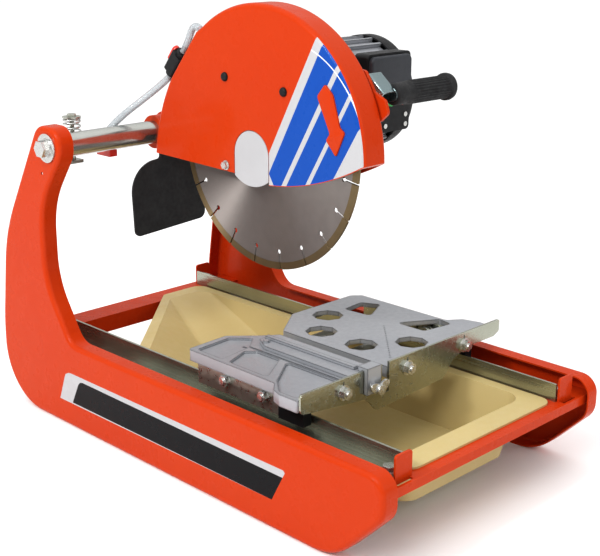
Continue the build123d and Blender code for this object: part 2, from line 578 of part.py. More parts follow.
for name, button_x in BUTTON_X.items():
    with BuildPart() as button:
        rod_y(BOX_Y[0] - 3, BOX_Y[0] + 6, button_x, BUTTON_Z, 7.6)
        rod_y(BOX_Y[0] + 4, BOX_Y[0] + 6, button_x, BUTTON_Z, 9.5)
    save(button, name)

with BuildPart() as panel_screws:
    for screw_x, screw_z in PANEL_SCREWS:
        rod_y(BOX_Y[0] - 1.6, BOX_Y[0], screw_x, screw_z, 3)
        rod_y(BOX_Y[0], BOX_Y[0] + 3, screw_x, screw_z, 1.6)
    rod_x(GUARD_NEAR - 1.2, GUARD_NEAR, 45, 349.5, 6)
    hexagon("X", GUARD_NEAR - 5, 3.8, 45, 349.5, 8)
save(panel_screws, "panel_screws")

# ---------------------------------------------------------------- operator's handle
BRACKET = (GUARD_FAR, GUARD_FAR + 4)

with BuildPart() as handle_bracket:
    with BuildSketch(Plane.YZ.offset(BRACKET[0])):
        with BuildLine():
            outline([
                ((-88, 484), 4), ((-146, 478), 6), ((-160, 456), 4), ((-176, 448), 4),
                ((-181, 434), 6), ((-170, 424), 4), ((-120, 414), 10), ((-88, 412), 4),
            ])
        make_face()
    extrude(amount=BRACKET[1] - BRACKET[0])
save(handle_bracket, "handle_bracket")

with BuildPart() as handle_bar:
    bar_plane = Plane(origin=(BRACKET[1] + 11, GRIP_Y + 1, GRIP_Z - 4), x_dir=(1, 0, 0), z_dir=(0, 0.766, 0.643))
    with BuildSketch(bar_plane):
        RectangleRounded(22, 22, 2.5)
        RectangleRounded(18, 18, 1.5, mode=Mode.SUBTRACT)
    extrude(amount=30)
    rod_x(BRACKET[1] + 21, GRIP_START + 92, GRIP_Y, GRIP_Z, 8)
    rod_x(BRACKET[1] + 19.5, BRACKET[1] + 23, GRIP_Y, GRIP_Z, 8)
save(handle_bar, "handle_bar")

with BuildPart() as handle_grip:
    rod_x(GRIP_START, GRIP_START + 24, GRIP_Y, GRIP_Z, 12.5)
    rod_x(GRIP_START + 22, GRIP_START + 92, GRIP_Y, GRIP_Z, 13.5)
    rod_x(GRIP_START + 90, GRIP_START + 98, GRIP_Y, GRIP_Z, 16)
    rod_x(GRIP_START - 1, GRIP_START + 92, GRIP_Y, GRIP_Z, 8, Mode.SUBTRACT)
save(handle_grip, "handle_grip")

# ---------------------------------------------------------------- water tap on the guard's sloping back
TAP_X = -31.0
SLOPE = 78.1                     # length of the sloping back, (100, 506) to (150, 446)
UP_Y, UP_Z = -50 / SLOPE, 60 / SLOPE
OUT_Y, OUT_Z = 60 / SLOPE, 50 / SLOPE
TAP_OUT = 16.0                   # tap axis above the sloping back
TAP_Y = 137.5 + TAP_OUT * OUT_Y + 12 * -UP_Y
TAP_Z = 461.0 + TAP_OUT * OUT_Z - 12 * UP_Z
tap_axis = Plane(origin=(TAP_X, TAP_Y, TAP_Z), x_dir=(1, 0, 0), z_dir=(0, UP_Y, UP_Z))
tap_face = Plane(origin=(TAP_X, TAP_Y, TAP_Z), x_dir=(1, 0, 0), z_dir=(0, OUT_Y, OUT_Z))

with BuildPart() as tap_body:
    with BuildSketch(tap_axis.offset(-14)):
        RectangleRounded(20, 20, 4)
    extrude(amount=28)
    with BuildSketch(tap_axis.offset(-19)):
        Circle(8)
    extrude(amount=38)
    with BuildSketch(tap_axis.offset(-27)):
        Circle(2.6)
    extrude(amount=54)
    with BuildSketch(tap_face.offset(-TAP_OUT)):
        Rectangle(16, 20)
    extrude(amount=10)
    with BuildSketch(tap_face.offset(2)):
        Circle(4 + RUNNING)
    extrude(amount=10, mode=Mode.SUBTRACT)
save(tap_body, "tap_body")

with BuildPart() as tap_lever:
    with BuildSketch(tap_face.offset(2.3)):
        Circle(4)
    extrude(amount=8)
    with BuildSketch(tap_face.offset(10.3)):
        with Locations((0, -5)):
            SlotOverall(24, 10, rotation=90)
    extrude(amount=4)
save(tap_lever, "tap_lever")

# ---------------------------------------------------------------- clear hoses
HOSE_R = 4.5


def along_tap(distance):
    """Point on the tap axis, this far up from its middle."""
    return (TAP_X, TAP_Y + distance * UP_Y, TAP_Z + distance * UP_Z)


def bend_radii(points):
    """Bend radius at every inner point: 0.45 of the shorter run over the tangent of half the turn."""
    found = []
    for before, here, after in zip(points, points[1:], points[2:]):
        run_in = Vector(*here) - Vector(*before)
        run_out = Vector(*after) - Vector(*here)
        half_turn = math.radians(run_in.get_angle(run_out)) / 2
        found.append(0.45 * min(run_in.length, run_out.length) / math.tan(half_turn))
    return found


INLET = (TAP_X, 103.5 + 5 * OUT_Y, 501.8 + 5 * OUT_Z)
ELBOW = (-94.0, 238.0, 355.0)
above_inlet = (TAP_X, INLET[1] + 18 * OUT_Y, INLET[2] + 18 * OUT_Z)
above_elbow = (ELBOW[0], ELBOW[1], ELBOW[2] + 18)
ROUTES = {
    "supply_hose": [along_tap(19.4), along_tap(31), above_inlet, INLET],
    "feed_hose": [along_tap(-19.4), along_tap(-31), above_elbow, ELBOW],
}

for name, route in ROUTES.items():
    radii = bend_radii(route)
    print(name, "bend radii", [round(r, 2) for r in radii])
    with BuildPart() as hose:
        with BuildLine():
            FilletPolyline(route, radius=radii)
        start = Vector(*route[1]) - Vector(*route[0])
        with BuildSketch(Plane(origin=route[0], z_dir=start)):
            Circle(HOSE_R)
            Circle(2.7, mode=Mode.SUBTRACT)
        sweep()
    save(hose, name)

with BuildPart() as hose_fittings:
    inlet_plane = Plane(origin=INLET, z_dir=(0, OUT_Y, OUT_Z))
    with BuildSketch(inlet_plane.offset(-5)):
        Circle(6)
    extrude(amount=5 - 0.4)
    with BuildSketch(inlet_plane.offset(-5)):
        Circle(2.4)
    extrude(amount=11)
    strap_x = (ELBOW[0] - 6, ELBOW[0] + 6)
    block(strap_x, (PIVOT_Y + 4, ELBOW[1] + 6), (ELBOW[2] - 13, ELBOW[2] - 1))
    rod_x(strap_x[0] - 1, strap_x[1] + 1, PIVOT_Y, PIVOT_Z, TUBE_R, Mode.SUBTRACT)
    rod_z(ELBOW[2] - 3, ELBOW[2] + 6, ELBOW[0], ELBOW[1], 2.4)
save(hose_fittings, "hose_fittings")

# ---------------------------------------------------------------- rolling table: two castings on a carriage
SKIRT = 14.0                     # height of the edge skirt under each casting
TABLE_RIM = 4.0
OCTAGON_HOLES = [(58, -26), (8, -63), (8, -130), (58, -167)]
WEDGES = [
    [(92, -24), (128, -20), (140, -44), (96, -66)],
    [(99, -107), (149, -137), (145, -159), (100, -152)],
]

with BuildPart() as table_plate:
    with BuildSketch(Plane.XY.offset(TABLE_TOP - SKIRT)):
        with BuildLine():
            outline([
                ((KERF[1], TABLE_FRONT), 1), ((KERF[1], -28), 3), ((29, 10), 5), ((140, 10), 5),
                ((152, 0), 4), ((152, -145), 8), ((170, -158), 6), ((176, -180), 5), ((176, TABLE_FRONT), 2),
            ])
        make_face()
    extrude(amount=SKIRT)
    with BuildSketch(Plane.XY.offset(TABLE_TOP - SKIRT)):
        with BuildLine():
            outline([
                ((KERF[1] + 4, TABLE_FRONT + 4), 3), ((KERF[1] + 4, -30), 3), ((30, 6), 3), ((139, 6), 3),
                ((148, -2), 3), ((148, -147), 5), ((166, -160), 4), ((172, -180), 4), ((172, TABLE_FRONT + 4), 3),
            ])
        make_face()
    extrude(amount=SKIRT - PLATE, mode=Mode.SUBTRACT)
    with BuildSketch(Plane.XY.offset(TABLE_TOP - PLATE - 1)):
        with Locations(*OCTAGON_HOLES):
            RegularPolygon(20, 8)
        for wedge in WEDGES:
            with BuildLine():
                outline([(corner, 5) for corner in wedge])
            make_face()
    extrude(amount=PLATE + 2, mode=Mode.SUBTRACT)
    # angle marks engraved across the middle of the casting
    with BuildSketch(Plane.XY.offset(TABLE_TOP - 0.6)):
        for step in range(16):
            with Locations((78 - 5.2 * step, -105 - 5.2 * step)):
                Rectangle(3.6, 0.9, rotation=45)
    extrude(amount=1, mode=Mode.SUBTRACT)
save(table_plate, "table_plate")

NEAR_POCKETS = [
    [(-143, -4), (-90, 0), (-70, -22), (-95, -42), (-143, -48)],
    [(-144, -62), (-108, -48), (-96, -58), (-96, -96), (-144, -126)],
    [(-144, -142), (-96, -108), (-96, -192), (-164, -192), (-164, -166)],
]

with BuildPart() as near_plate:
    with BuildSketch(Plane.XY.offset(TABLE_TOP - SKIRT)):
        with BuildLine():
            outline([
                ((KERF[0], TABLE_FRONT), 1), ((KERF[0], -36), 4), ((-56, -22), 3), ((-88, 8), 5), ((-150, 5), 5),
                ((-151, -145), 8), ((-165, -158), 6), ((-170, -172), 4), ((-170, TABLE_FRONT), 2),
            ])
        make_face()
    extrude(amount=SKIRT)
    with BuildSketch(Plane.XY.offset(TABLE_TOP - SKIRT)):
        with BuildLine():
            outline([
                ((KERF[0] - 4, TABLE_FRONT + 4), 3), ((KERF[0] - 4, -38), 3), ((-60, -24), 2), ((-90, 4), 3),
                ((-148, 1), 3), ((-148, -147), 4), ((-161, -160), 3), ((-166, -173), 3), ((-166, TABLE_FRONT + 4), 3),
            ])
        make_face()
    extrude(amount=SKIRT - PLATE, mode=Mode.SUBTRACT)
    with BuildSketch(Plane.XY.offset(TABLE_TOP - 3)):
        for pocket in NEAR_POCKETS:
            with BuildLine():
                outline([(corner, 4) for corner in pocket])
            make_face()
    extrude(amount=4, mode=Mode.SUBTRACT)
    block((-95, -92), (-190, -30), (TABLE_TOP - 4, TABLE_TOP + 1), Mode.SUBTRACT)
save(near_plate, "near_plate")

with BuildPart() as carriage_sides:
    for side in (-1, 1):
        side_x = (side * SIDE_X, side * (SIDE_X + SIDE_SHEET))
        block(side_x, (-150, -10), (108, TABLE_TOP - PLATE))
        for roller_y in ROLLER_Y:
            rod_x(side * 144, side * 149, roller_y, ROLLER_Z, 4, Mode.SUBTRACT)
save(carriage_sides, "carriage_sides")

with BuildPart() as table_crossmembers:
    for member_y in (-95, -25):
        member = (member_y - 10, member_y + 10)
        block((-SIDE_X, SIDE_X), member, (118, 122))
        for side in (-1, 1):
            block((side * (SIDE_X - 3), side * SIDE_X), member, (118, TABLE_TOP - PLATE))
save(table_crossmembers, "table_crossmembers")

with BuildPart() as table_wipers:
    for side in (-1, 1):
        block((side * 137.5, side * 150), (-189, -150), (106.5, 131))
        block((side * 145, side * 150), (-189, -150), (106.5, TABLE_TOP - SKIRT))
save(table_wipers, "table_wipers")

with BuildPart() as roller_bolts:
    for side in (-1, 1):
        for roller_y in ROLLER_Y:
            outside = side * (SIDE_X + SIDE_SHEET)
            rod_x(outside, outside + side * 1.2, roller_y, ROLLER_Z, 7.1)
            hexagon("X", outside + side * 1.2, side * 6, roller_y, ROLLER_Z, 12)
            rod_x(outside + side * 7, outside + side * 9.5, roller_y, ROLLER_Z, 3.8)
            rod_x(side * 128.6, outside + side * 1.2, roller_y, ROLLER_Z, 4)
            rod_x(side * (ROLLER_X + 5.5), side * SIDE_X, roller_y, ROLLER_Z, 6)
            rod_x(side * 126, side * (ROLLER_X - 5.5), roller_y, ROLLER_Z, 6)
save(roller_bolts, "roller_bolts")

for side, side_name in ((-1, "left"), (1, "right")):
    for end_name, roller_y in zip(("rear", "front"), ROLLER_Y):
        roller_x = side * ROLLER_X
        with BuildPart() as roller:
            rod_x(roller_x - 5, roller_x + 5, roller_y, ROLLER_Z, ROLLER_R)
            for flange_x in (roller_x - 5, roller_x + 2.5):
                rod_x(flange_x, flange_x + 2.5, roller_y, ROLLER_Z, ROLLER_R + 3)
            rod_x(roller_x - 6, roller_x + 6, roller_y, ROLLER_Z, 4 + RUNNING, Mode.SUBTRACT)
        save(roller, f"{side_name}_{end_name}_roller")

# ---------------------------------------------------------------- fence along the front of the table
FENCE_Y = (TABLE_FRONT - 3, TABLE_FRONT)
FENCE_BOLTS = [-101, 8, 115]
FENCE_BOLT_Z = 138.0

with BuildPart() as fence:
    with BuildSketch(Plane.XZ.offset(-FENCE_Y[1])):
        with BuildLine():
            outline([
                ((-168, FENCE_TOP), 4), ((187, FENCE_TOP), 3), ((187, 139), 4), ((176, 134), 6), ((120, 134), 12),
                ((93, 124), 10), ((78, 105), 14), ((-46, 100), 8), ((-56, 112), 8), ((-66, 119), 8), ((-168, 131), 6),
            ])
        make_face()
    extrude(amount=FENCE_Y[1] - FENCE_Y[0])
    block(KERF, (FENCE_Y[0] - 1, FENCE_Y[1] + 1), (118, FENCE_TOP + 1), Mode.SUBTRACT)
    for bolt_x in FENCE_BOLTS:
        block((bolt_x - 1, bolt_x + 1), (FENCE_Y[0] - 1, FENCE_Y[1] + 1), (145, 151), Mode.SUBTRACT)
    # scale marks along the top edge of the inner face
    for mark in range(-15, 19):
        if not -4 <= mark <= -3:
            tall = 5 if mark % 5 else 8
            block((10 * mark - 0.3, 10 * mark + 0.3), (FENCE_Y[1] - 0.4, FENCE_Y[1] + 1), (FENCE_TOP - tall, FENCE_TOP + 1), Mode.SUBTRACT)
save(fence, "fence")

with BuildPart() as fence_bolts:
    for bolt_x in FENCE_BOLTS:
        rod_y(FENCE_Y[0] - 1.4, FENCE_Y[0], bolt_x, FENCE_BOLT_Z, 9)
        hexagon("Y", FENCE_Y[0] - 7.4, 6, bolt_x, FENCE_BOLT_Z, 13)
        rod_y(FENCE_Y[0] - 9.5, FENCE_Y[0] - 7, bolt_x, FENCE_BOLT_Z, 3.8)
save(fence_bolts, "fence_bolts")

# ---------------------------------------------------------------- sliding side guide and its wing screw
GUIDE_X = (-88.0, -64.0)
HOOK_X = (-68.0, -45.0)
HOOK_LOW = 126.0
WING = (-54.0, 132.0)

with BuildPart() as side_guide:
    with BuildSketch(Plane.XY.offset(TABLE_TOP + 0.3)):
        with BuildLine():
            outline([
                ((GUIDE_X[0], TABLE_FRONT + 0.4), 1), ((HOOK_X[1], TABLE_FRONT + 0.4), 1), ((HOOK_X[1], -188), 3),
                ((GUIDE_X[1], -176), 4), ((GUIDE_X[1], -40), 2), ((GUIDE_X[0] + 12, -40), 3), ((GUIDE_X[0], -62), 4),
            ])
        make_face()
    extrude(amount=5)
    block((GUIDE_X[1] - 6, GUIDE_X[1]), (TABLE_FRONT + 10, -44), (TABLE_TOP + 4, TABLE_TOP + 9))
    block(HOOK_X, (TABLE_FRONT - 9, TABLE_FRONT + 6), (FENCE_TOP + 0.3, FENCE_TOP + 4))
    block(HOOK_X, (TABLE_FRONT + 0.4, TABLE_FRONT + 6), (TABLE_TOP + 4, FENCE_TOP + 1))
    block(HOOK_X, (TABLE_FRONT - 9, TABLE_FRONT - 3.4), (HOOK_LOW, FENCE_TOP + 1))
    rod_y(TABLE_FRONT - 20, TABLE_FRONT, WING[0], WING[1], 3 + RUNNING, Mode.SUBTRACT)
    rod_z(TABLE_TOP + 5, TABLE_TOP + 8, -78, -54, 4)
save(side_guide, "side_guide")

with BuildPart() as wing_screw:
    rod_y(TABLE_FRONT - 19, TABLE_FRONT - 3.8, WING[0], WING[1], 3)
    rod_y(TABLE_FRONT - 19, TABLE_FRONT - 10, WING[0], WING[1], 6)
    with BuildSketch(Plane.XZ.offset(-TABLE_FRONT + 13.5)):
        with Locations((WING[0] - 7, WING[1] + 3)):
            Ellipse(9, 5.5, rotation=-28)
        with Locations((WING[0] + 7, WING[1] + 3)):
            Ellipse(9, 5.5, rotation=28)
    extrude(amount=3)
save(wing_screw, "wing_screw")
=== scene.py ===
import json
import math

import bmesh
import bpy
from mathutils import Matrix, Vector
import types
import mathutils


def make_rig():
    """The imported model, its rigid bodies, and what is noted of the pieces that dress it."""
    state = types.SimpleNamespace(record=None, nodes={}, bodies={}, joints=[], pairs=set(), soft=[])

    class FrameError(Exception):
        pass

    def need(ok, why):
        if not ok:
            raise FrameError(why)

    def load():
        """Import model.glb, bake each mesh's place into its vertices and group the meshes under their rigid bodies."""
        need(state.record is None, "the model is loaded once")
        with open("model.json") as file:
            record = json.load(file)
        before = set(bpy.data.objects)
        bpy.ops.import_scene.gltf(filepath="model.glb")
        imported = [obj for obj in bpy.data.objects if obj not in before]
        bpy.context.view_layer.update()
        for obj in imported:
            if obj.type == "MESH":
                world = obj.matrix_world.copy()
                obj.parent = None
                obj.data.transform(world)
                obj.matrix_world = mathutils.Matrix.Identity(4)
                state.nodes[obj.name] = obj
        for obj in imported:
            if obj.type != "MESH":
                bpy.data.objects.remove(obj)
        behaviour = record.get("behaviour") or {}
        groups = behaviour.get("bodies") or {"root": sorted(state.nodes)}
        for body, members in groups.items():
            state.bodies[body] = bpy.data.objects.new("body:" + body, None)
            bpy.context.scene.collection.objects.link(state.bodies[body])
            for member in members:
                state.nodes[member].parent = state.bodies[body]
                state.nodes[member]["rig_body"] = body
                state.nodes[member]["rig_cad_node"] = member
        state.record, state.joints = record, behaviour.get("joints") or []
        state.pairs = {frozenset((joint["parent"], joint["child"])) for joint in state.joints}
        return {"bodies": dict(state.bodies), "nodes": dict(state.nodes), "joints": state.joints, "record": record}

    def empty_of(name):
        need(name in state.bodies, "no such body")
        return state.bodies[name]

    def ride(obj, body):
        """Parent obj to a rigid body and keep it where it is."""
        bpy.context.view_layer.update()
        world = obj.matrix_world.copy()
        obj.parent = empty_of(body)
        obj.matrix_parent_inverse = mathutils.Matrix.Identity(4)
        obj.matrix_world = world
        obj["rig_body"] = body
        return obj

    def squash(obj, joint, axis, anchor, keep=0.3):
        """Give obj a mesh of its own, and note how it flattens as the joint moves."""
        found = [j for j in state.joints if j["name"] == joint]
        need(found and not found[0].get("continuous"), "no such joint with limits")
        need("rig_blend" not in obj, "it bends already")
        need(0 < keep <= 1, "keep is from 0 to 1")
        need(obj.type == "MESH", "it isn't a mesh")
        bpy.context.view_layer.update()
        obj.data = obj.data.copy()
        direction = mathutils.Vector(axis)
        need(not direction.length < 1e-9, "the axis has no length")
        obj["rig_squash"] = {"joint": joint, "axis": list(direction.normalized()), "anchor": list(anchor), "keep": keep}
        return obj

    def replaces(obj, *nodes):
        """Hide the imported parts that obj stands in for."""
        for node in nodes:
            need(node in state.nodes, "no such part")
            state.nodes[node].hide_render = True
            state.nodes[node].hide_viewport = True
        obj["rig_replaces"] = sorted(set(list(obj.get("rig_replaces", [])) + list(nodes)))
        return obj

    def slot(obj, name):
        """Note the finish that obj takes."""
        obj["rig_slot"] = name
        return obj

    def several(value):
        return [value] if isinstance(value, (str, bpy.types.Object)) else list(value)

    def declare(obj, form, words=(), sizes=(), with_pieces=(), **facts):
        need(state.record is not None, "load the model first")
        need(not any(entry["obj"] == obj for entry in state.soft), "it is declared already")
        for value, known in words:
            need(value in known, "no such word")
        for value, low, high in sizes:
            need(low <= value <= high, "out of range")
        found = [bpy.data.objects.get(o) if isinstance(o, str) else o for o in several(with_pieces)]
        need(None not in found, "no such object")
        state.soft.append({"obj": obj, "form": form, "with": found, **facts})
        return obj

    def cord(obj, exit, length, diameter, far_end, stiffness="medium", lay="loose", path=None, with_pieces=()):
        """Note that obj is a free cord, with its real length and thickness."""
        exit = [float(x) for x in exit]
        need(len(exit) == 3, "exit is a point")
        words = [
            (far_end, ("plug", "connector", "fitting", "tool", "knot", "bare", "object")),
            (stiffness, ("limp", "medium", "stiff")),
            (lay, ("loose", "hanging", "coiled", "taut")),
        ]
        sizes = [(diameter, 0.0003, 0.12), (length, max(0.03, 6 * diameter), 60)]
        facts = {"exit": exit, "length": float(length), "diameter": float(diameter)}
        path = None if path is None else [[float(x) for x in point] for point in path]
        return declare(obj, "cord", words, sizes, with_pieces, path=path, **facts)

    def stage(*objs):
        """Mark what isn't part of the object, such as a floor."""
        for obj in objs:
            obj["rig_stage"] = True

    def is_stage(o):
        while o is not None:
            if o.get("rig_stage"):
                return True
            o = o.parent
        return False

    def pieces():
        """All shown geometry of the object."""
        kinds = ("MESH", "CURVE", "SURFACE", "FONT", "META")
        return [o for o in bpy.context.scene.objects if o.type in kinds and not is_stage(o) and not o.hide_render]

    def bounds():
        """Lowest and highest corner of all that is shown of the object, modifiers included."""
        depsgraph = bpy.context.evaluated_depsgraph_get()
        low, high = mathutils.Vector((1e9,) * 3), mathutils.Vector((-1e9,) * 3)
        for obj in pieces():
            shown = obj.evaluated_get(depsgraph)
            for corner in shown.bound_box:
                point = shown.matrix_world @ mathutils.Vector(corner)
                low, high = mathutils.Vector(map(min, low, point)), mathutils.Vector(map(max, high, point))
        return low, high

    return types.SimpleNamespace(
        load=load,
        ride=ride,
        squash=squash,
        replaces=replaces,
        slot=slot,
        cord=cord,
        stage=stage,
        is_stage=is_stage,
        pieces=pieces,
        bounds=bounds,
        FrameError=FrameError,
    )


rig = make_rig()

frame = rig.load()
cad_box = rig.bounds()
nodes = frame["nodes"]

# ---------------------------------------------------------------- camera
CAMERA_PLACE = (-0.9873, -1.0242, 0.6410)
CAMERA_HEADING = -44.89  # degrees about +Z, from +Y
CAMERA_DIP = 17.07
CAMERA_ROLL = 0.12

camera = bpy.data.objects.new("camera", bpy.data.cameras.new("camera"))
camera.data.lens = 70.75
camera.data.clip_start = 0.05
camera.location = CAMERA_PLACE
camera.rotation_euler = (
    Matrix.Rotation(math.radians(CAMERA_HEADING), 3, "Z")
    @ Matrix.Rotation(math.radians(90 - CAMERA_DIP), 3, "X")
    @ Matrix.Rotation(math.radians(CAMERA_ROLL), 3, "Z")
).to_euler()
bpy.context.scene.collection.objects.link(camera)
bpy.context.scene.camera = camera


# ---------------------------------------------------------------- water hoses
HOSE_DIAMETER = 0.009
# control points of each hose's line, from the tap to its far end
SUPPLY_ROUTE = [
    (-0.031, 0.14505, 0.47693),
    (-0.031, 0.13763, 0.48584),
    (-0.031, 0.12117, 0.51653),
    (-0.031, 0.10734, 0.50500),
]
FEED_ROUTE = [
    (-0.031, 0.16989, 0.44712),
    (-0.031, 0.17732, 0.43821),
    (-0.094, 0.238, 0.373),
    (-0.094, 0.238, 0.355),
]


def hose(name, route, node, length):
    """A water hose on a smooth line guided by its route, closed at both ends."""
    curve = bpy.data.curves.new(name, "CURVE")
    curve.dimensions = "3D"
    spline = curve.splines.new("NURBS")
    spline.points.add(len(route) - 1)
    for point, place in zip(spline.points, route):
        point.co = (*place, 1)
        point.radius = HOSE_DIAMETER / 2
    spline.order_u = 3
    spline.use_endpoint_u = True
    spline.resolution_u = 24
    curve.bevel_depth = 1.0  # scaled by the radius of each point
    curve.bevel_resolution = 8
    curve.use_fill_caps = True
    made = bpy.data.objects.new(name, curve)
    bpy.context.scene.collection.objects.link(made)
    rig.replaces(made, node)
    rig.ride(made, "head")
    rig.slot(made, "clear_hose")
    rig.cord(
        made, exit=route[0], length=length, diameter=HOSE_DIAMETER,
        far_end="object", stiffness="medium", lay="taut",
    )
    return made


supply_line = hose("supply_line", SUPPLY_ROUTE, "supply_hose", 0.060)
feed_line = hose("feed_line", FEED_ROUTE, "feed_hose", 0.137)


# ---------------------------------------------------------------- materials
class Paint:
    """A Principled material with short ways to add noise, masks and bump to it."""

    def __init__(self, name, color, roughness=0.5, metallic=0.0, **sockets):
        self.mat = bpy.data.materials.new(name)
        self.mat.use_nodes = True
        self.tree = self.mat.node_tree
        self.bsdf = self.tree.nodes["Principled BSDF"]
        self.set("Base Color", (*color, 1))
        self.set("Roughness", roughness)
        self.set("Metallic", metallic)
        for socket, value in sockets.items():
            self.set(socket.replace("_", " "), value)
        self.height = None
        self.split = None

    def set(self, socket, value):
        self.bsdf.inputs[socket].default_value = value

    def node(self, kind, **settings):
        """A new shader node, with its sockets or properties set by name."""
        made = self.tree.nodes.new("ShaderNode" + kind)
        for key, value in settings.items():
            if key in made.inputs:
                made.inputs[key].default_value = value
            else:
                setattr(made, key, value)
        return made

    def link(self, source, target):
        self.tree.links.new(source, target)

    def place(self, stretch=(1, 1, 1)):
        """Position in the object's own frame, stretched on each axis."""
        coord = self.node("TexCoord")
        mapping = self.node("Mapping")
        mapping.inputs["Scale"].default_value = stretch
        self.link(coord.outputs["Object"], mapping.inputs["Vector"])
        return mapping.outputs["Vector"]

    def noise(self, scale, detail=3.0, stretch=(1, 1, 1), low=0.35, high=0.65):
        """Noise, spread so that low to high becomes 0 to 1."""
        made = self.node("TexNoise", Scale=scale, Detail=detail)
        self.link(self.place(stretch), made.inputs["Vector"])
        spread = self.node("MapRange")
        spread.inputs["From Min"].default_value = low
        spread.inputs["From Max"].default_value = high
        self.link(made.outputs["Fac"], spread.inputs["Value"])
        return spread.outputs["Result"]

    def edges(self, radius, low=0.02, high=0.25):
        """1 along sharp edges, 0 on flat faces."""
        bevel = self.node("Bevel", samples=4)
        bevel.inputs["Radius"].default_value = radius
        flat = self.node("NewGeometry")
        dot = self.node("VectorMath", operation="DOT_PRODUCT")
        self.link(bevel.outputs["Normal"], dot.inputs[0])
        self.link(flat.outputs["Normal"], dot.inputs[1])
        spread = self.node("MapRange")
        spread.inputs["From Min"].default_value = 1 - low
        spread.inputs["From Max"].default_value = 1 - high
        self.link(dot.outputs["Value"], spread.inputs["Value"])
        return spread.outputs["Result"]

    def times(self, a, b):
        """Product of a mask with another mask or a number."""
        made = self.node("Math", operation="MULTIPLY")
        self.link(a, made.inputs[0])
        if isinstance(b, float):
            made.inputs[1].default_value = b
        else:
            self.link(b, made.inputs[1])
        return made.outputs["Value"]

    def both(self, *masks):
        """1 where every mask is 1."""
        result = masks[0]
        for mask in masks[1:]:
            result = self.times(result, mask)
        return result

    def below(self, value, limit):
        """1 where the value is under the limit."""
        made = self.node("Math", operation="LESS_THAN")
        self.link(value, made.inputs[0])
        made.inputs[1].default_value = limit
        return made.outputs[0]

    def axis(self, index):
        """One coordinate of the surface in the object's own frame."""
        if self.split is None:
            self.split = self.node("SeparateXYZ")
            self.link(self.place(), self.split.inputs[0])
        return self.split.outputs[index]

    def above(self, value, limit):
        """1 where the value is over the limit."""
        made = self.node("Math", operation="GREATER_THAN")
        self.link(value, made.inputs[0])
        made.inputs[1].default_value = limit
        return made.outputs[0]

    def right_of(self, a, b):
        """1 on the right of the line from a to b, as seen along +X with +Z up; a and b are (y, z) in mm."""
        dy, dz = (b[0] - a[0]) / 1000, (b[1] - a[1]) / 1000
        rise = self.node("Math", operation="MULTIPLY_ADD")
        self.link(self.axis(1), rise.inputs[0])
        rise.inputs[1].default_value = -dz
        rise.inputs[2].default_value = dz * a[0] / 1000 - dy * a[1] / 1000
        total = self.node("Math", operation="MULTIPLY_ADD")
        self.link(self.axis(2), total.inputs[0])
        total.inputs[1].default_value = dy
        self.link(rise.outputs[0], total.inputs[2])
        flip = self.node("Math", operation="GREATER_THAN")
        self.link(total.outputs[0], flip.inputs[0])
        flip.inputs[1].default_value = 0
        return flip.outputs[0]

    def inside(self, corners):
        """1 inside a convex outline of (y, z) corners in mm, listed clockwise as seen along +X."""
        return self.both(*(self.right_of(a, b) for a, b in zip(corners, corners[1:] + corners[:1])))

    def tint(self, mask, color):
        """Base colour moves to this colour where the mask is 1."""
        made = self.node("Mix", data_type="RGBA")
        base = self.bsdf.inputs["Base Color"]
        if base.is_linked:
            self.link(base.links[0].from_socket, made.inputs[6])
        else:
            made.inputs[6].default_value = base.default_value
        made.inputs[7].default_value = (*color, 1)
        self.link(mask, made.inputs[0])
        self.link(made.outputs[2], base)
        return self

    def rough(self, mask, low, high):
        """Roughness goes from low to high as the mask goes from 0 to 1."""
        made = self.node("MapRange")
        made.inputs["To Min"].default_value = low
        made.inputs["To Max"].default_value = high
        self.link(mask, made.inputs["Value"])
        self.link(made.outputs["Result"], self.bsdf.inputs["Roughness"])
        return self

    def bump(self, mask, distance):
        """Adds relief of this depth in metres, on top of any earlier relief."""
        made = self.node("Bump")
        made.inputs["Distance"].default_value = distance
        made.inputs["Strength"].default_value = 1.0
        self.link(mask, made.inputs["Height"])
        if self.height:
            self.link(self.height, made.inputs["Normal"])
        self.height = made.outputs["Normal"]
        self.link(self.height, self.bsdf.inputs["Normal"])
        return self

    def radius(self, y, z):
        """Distance in metres from an X axis at (y, z)."""
        square = []
        for index, centre in ((1, y), (2, z)):
            off = self.node("Math", operation="SUBTRACT")
            self.link(self.axis(index), off.inputs[0])
            off.inputs[1].default_value = centre
            square.append(self.times(off.outputs[0], off.outputs[0]))
        total = self.node("Math", operation="ADD")
        self.link(square[0], total.inputs[0])
        self.link(square[1], total.inputs[1])
        root = self.node("Math", operation="SQRT")
        self.link(total.outputs[0], root.inputs[0])
        return root.outputs[0]


def orange_enamel(name="orange_enamel"):
    p = Paint(
        name, (0.50, 0.046, 0.006), 0.28,
        Specular_IOR_Level=0.08, Coat_Weight=0.08, Coat_Roughness=0.06,
    )
    p.tint(p.times(p.noise(5, 4), 0.35), (0.46, 0.032, 0.004))
    # painted highlight: a lighter pinkish orange along sharp edges, where the edges would catch light
    p.tint(p.times(p.edges(0.0012), 0.30), (0.78, 0.16, 0.07))
    p.rough(p.noise(60, 4), 0.24, 0.38)
    return p.bump(p.noise(420, 2), 0.00002)


SILVER_BAND = (0.46, 0.46, 0.47)
BLUE_BAND = (0.010, 0.075, 0.36)
BLACK_BAND = (0.006, 0.006, 0.007)
FINE_LINE = (0.72, 0.74, 0.80)

